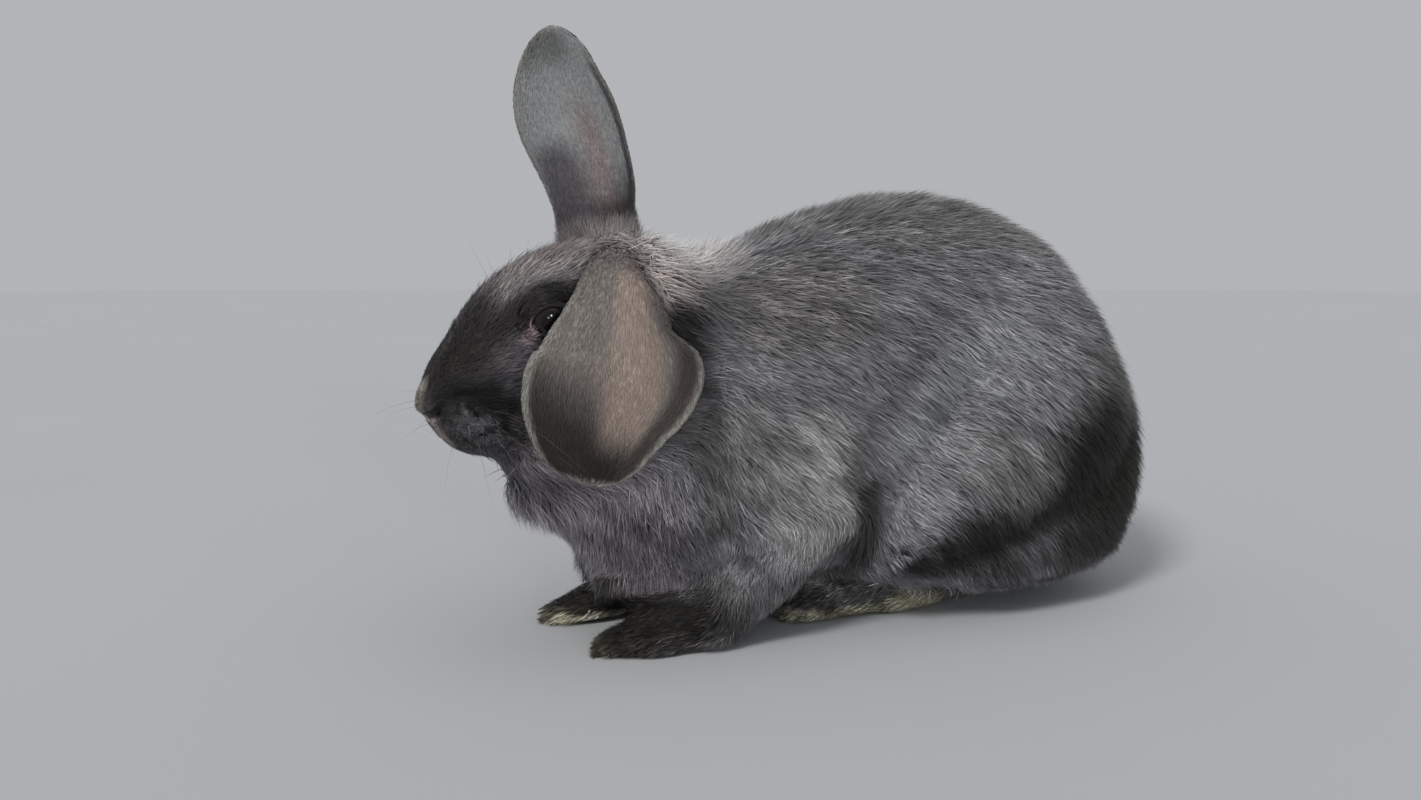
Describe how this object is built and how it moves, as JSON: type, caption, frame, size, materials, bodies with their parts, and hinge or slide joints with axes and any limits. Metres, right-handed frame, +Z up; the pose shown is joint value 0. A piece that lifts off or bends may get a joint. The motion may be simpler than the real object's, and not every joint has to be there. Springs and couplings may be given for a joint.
{
  "type": "rabbit",
  "caption": "Life-size still model of a crouching slate-grey domestic rabbit, one ear raised and the other lopped over its cheek.",
  "frame": {"origin": "middle of the whole rabbit's box, on the floor that it stands on", "axes": "+X from the nose to the tail, +Y to the rabbit's right, +Z up"},
  "size_m": [0.3486, 0.1548, 0.239],
  "materials": {
    "coat": "dense slate-grey fur over soft skin",
    "feet": "short dark fur with tan fur under the soles",
    "ear": "thin skin with velvety short fur",
    "eye": "wet, very dark brown"
  },
  "bodies": {
    "root": {"head": "coat", "neck": "coat", "trunk": "coat", "tail": "coat", "eye_left": "eye", "eye_right": "eye", "ear_left": "ear", "ear_right": "ear", "foreleg_left": "coat", "foreleg_right": "coat", "forepaw_left": "feet", "forepaw_right": "feet", "thigh_left": "coat", "thigh_right": "coat", "hind_foot_left": "feet", "hind_foot_right": "feet"}
  },
  "joints": []
}
